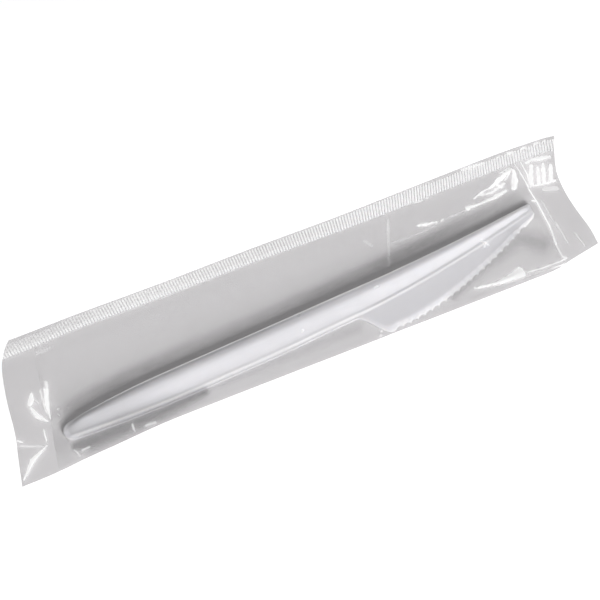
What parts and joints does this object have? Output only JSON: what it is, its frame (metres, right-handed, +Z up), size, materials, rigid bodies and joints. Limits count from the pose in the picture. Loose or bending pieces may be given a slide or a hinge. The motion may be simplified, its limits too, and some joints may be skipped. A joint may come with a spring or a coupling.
{
  "type": "wrapped knife",
  "caption": "Disposable plastic knife with a scalloped edge, sealed in a clear film pack with a ribbed fin seal along one side and a crimped seal across each end.",
  "frame": {"origin": "middle of the pack's outline, on the surface that it lies on", "axes": "+X along the pack from the knife's handle to its tip, +Y from the fold to the fin seal, +Z up, with the knife's arched face up"},
  "size_m": [0.1994, 0.047, 0.0047],
  "materials": {
    "clear_film": "clear, glossy",
    "white_plastic": "white, half gloss"
  },
  "bodies": {
    "root": {"film_wrapper": "clear_film", "knife": "white_plastic"}
  },
  "joints": []
}
